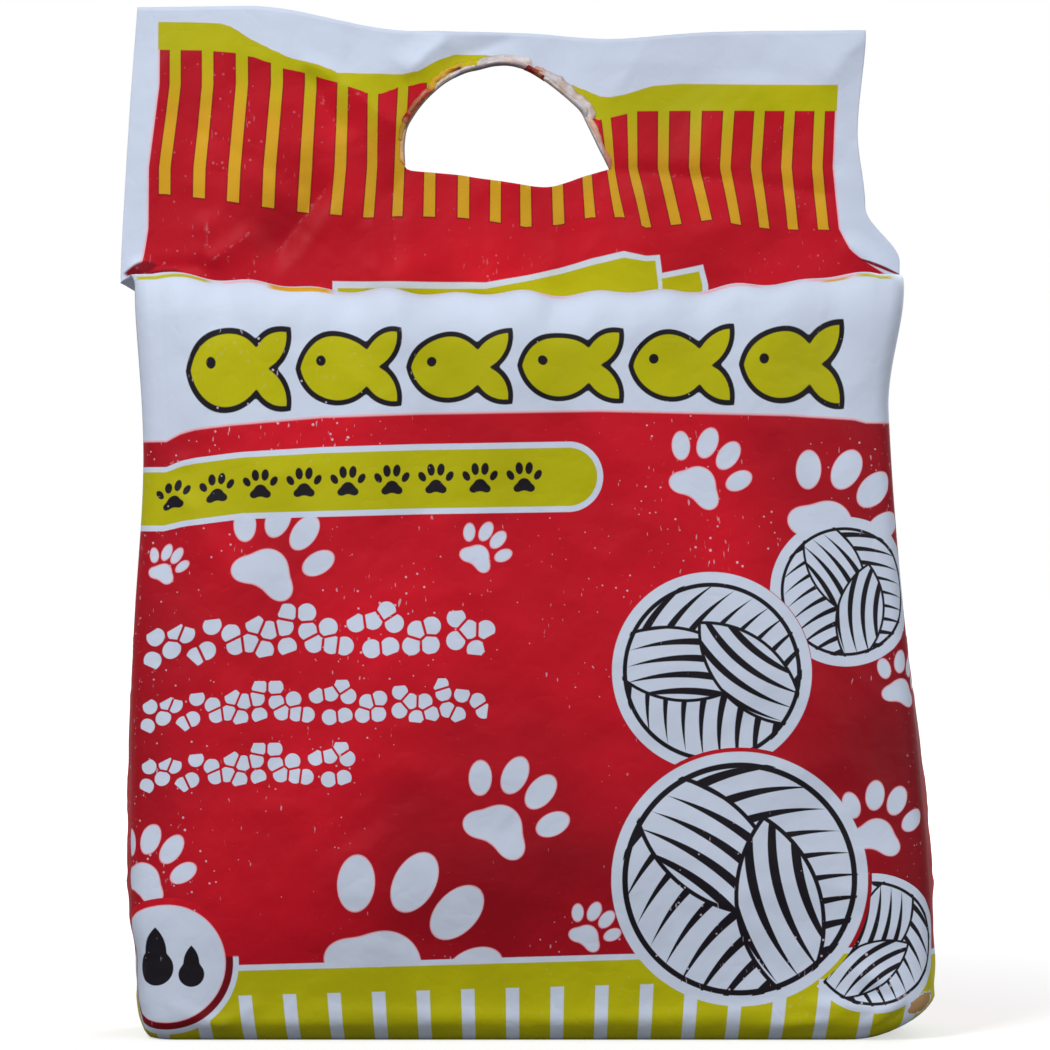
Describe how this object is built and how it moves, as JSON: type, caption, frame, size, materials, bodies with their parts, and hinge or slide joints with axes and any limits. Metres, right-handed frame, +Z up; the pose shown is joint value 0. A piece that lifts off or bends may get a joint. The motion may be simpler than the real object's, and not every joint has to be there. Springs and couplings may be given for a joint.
{
  "type": "cat litter bag",
  "caption": "Filled paper sack of cat litter with side gussets, a flat block bottom, a sealed flat header and a punched hand hole.",
  "frame": {"origin": "middle of the bag's box, on the surface that it stands on", "axes": "+Z up to the header, +X to the right across the front panel, -Y out of the front panel"},
  "size_m": [0.294, 0.079, 0.372],
  "materials": {
    "printed_paper": "satin"
  },
  "bodies": {
    "root": {"litter_bag": "printed_paper"}
  },
  "joints": []
}
